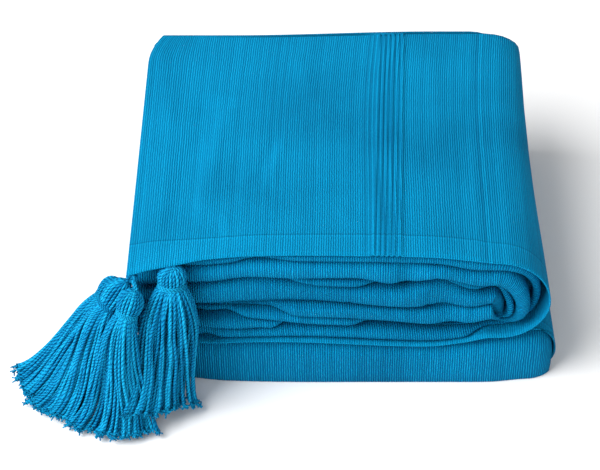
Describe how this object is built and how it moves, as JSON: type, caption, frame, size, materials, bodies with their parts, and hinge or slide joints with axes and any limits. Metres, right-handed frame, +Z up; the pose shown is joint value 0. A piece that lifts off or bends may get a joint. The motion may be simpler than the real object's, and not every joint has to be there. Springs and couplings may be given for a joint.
{
  "type": "folded shuka throw",
  "caption": "Cotton shuka throw folded into a stack that lies flat, its cloth corners at the front left, each with a yarn tassel.",
  "frame": {"origin": "on the surface that the throw lies on, in the middle of its lowest ply", "axes": "+Z up, +X along the front folds towards the rolled end, +Y towards the rear folds"},
  "size_m": [0.4979, 0.4154, 0.1593],
  "materials": {
    "woven_cotton": "matte ribbed weave",
    "cotton_yarn": "matte twisted yarn"
  },
  "bodies": {
    "root": {"throw": "woven_cotton", "tassel_front_right": "cotton_yarn", "tassel_front_middle": "cotton_yarn", "tassel_left_upper": "cotton_yarn", "tassel_left_lower": "cotton_yarn"}
  },
  "joints": []
}
